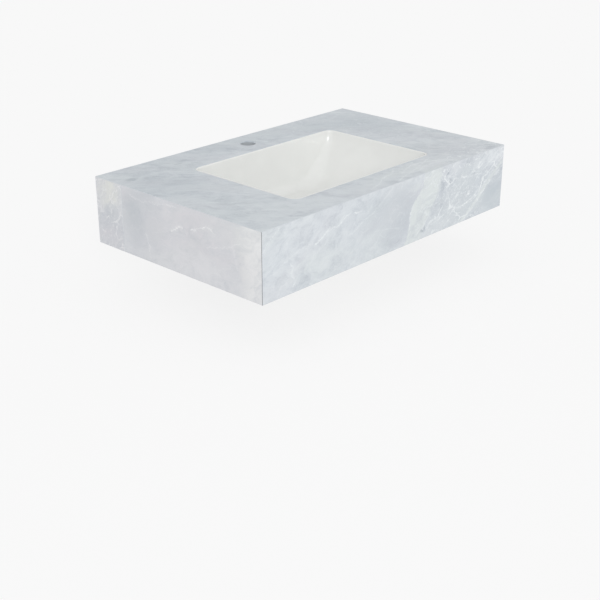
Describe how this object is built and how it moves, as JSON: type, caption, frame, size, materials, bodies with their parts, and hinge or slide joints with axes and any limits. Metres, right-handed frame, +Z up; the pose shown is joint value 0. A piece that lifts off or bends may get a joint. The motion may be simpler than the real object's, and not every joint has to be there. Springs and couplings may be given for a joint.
{
  "type": "vanity sink top",
  "caption": "Boxed stone vanity top with a deep mitred apron, a rectangular glazed basin set flush in its face, a tap hole, and a press-to-open waste with a sprung plug.",
  "frame": {"origin": "on the waste's axis, in the plane where the aprons' lower edges stand on a cabinet", "axes": "+X to the right along the front, +Y towards the wall, +Z up"},
  "size_m": [0.8, 0.5, 0.2573],
  "materials": {
    "stone": "polished",
    "sawn_stone": "sawn",
    "glazed_basin": "gloss",
    "silicone": "satin",
    "chrome": "polished",
    "brass": "machined",
    "zinc_steel": "zinc plated",
    "spring_steel": "bright",
    "rubber": "matt",
    "acetal": "satin"
  },
  "bodies": {
    "top": {"top_slab": "stone", "front_apron": "stone", "left_apron": "stone", "left_apron_rear": "stone", "right_apron": "stone", "right_apron_rear": "stone", "rear_rail": "sawn_stone", "front_batten": "sawn_stone", "left_batten": "sawn_stone", "right_batten": "sawn_stone", "left_corner_batten": "sawn_stone", "right_corner_batten": "sawn_stone", "left_seam_backing": "sawn_stone", "right_seam_backing": "sawn_stone", "basin": "glazed_basin", "basin_sealant": "silicone", "overflow_ring": "chrome", "basin_clip_1": "zinc_steel", "basin_clip_2": "zinc_steel", "basin_clip_3": "zinc_steel", "basin_clip_4": "zinc_steel", "basin_clip_5": "zinc_steel", "basin_clip_6": "zinc_steel", "clip_stud_1": "zinc_steel", "clip_stud_2": "zinc_steel", "clip_stud_3": "zinc_steel", "clip_stud_4": "zinc_steel", "clip_stud_5": "zinc_steel", "clip_stud_6": "zinc_steel", "clip_nut_1": "zinc_steel", "clip_nut_2": "zinc_steel", "clip_nut_3": "zinc_steel", "clip_nut_4": "zinc_steel", "clip_nut_5": "zinc_steel", "clip_nut_6": "zinc_steel", "waste_body": "chrome", "waste_gasket": "rubber", "waste_cone_washer": "rubber", "waste_slip_washer": "acetal", "waste_back_nut": "brass", "tailpiece": "chrome", "tailpiece_ring": "rubber", "cartridge_body": "acetal", "cartridge_base": "acetal", "cartridge_spring": "spring_steel"},
    "plug": {"plug_cap": "chrome", "plug_seal": "rubber", "plug_stem": "spring_steel"}
  },
  "joints": [
    {"name": "plug_press", "type": "slide", "parent": "top", "child": "plug", "axis": [0, 0, 1], "range_m": [-0.008, 0], "stiffness_N_per_m": 350, "springref_m": 0.012, "deforming": ["cartridge_spring"]}
  ]
}
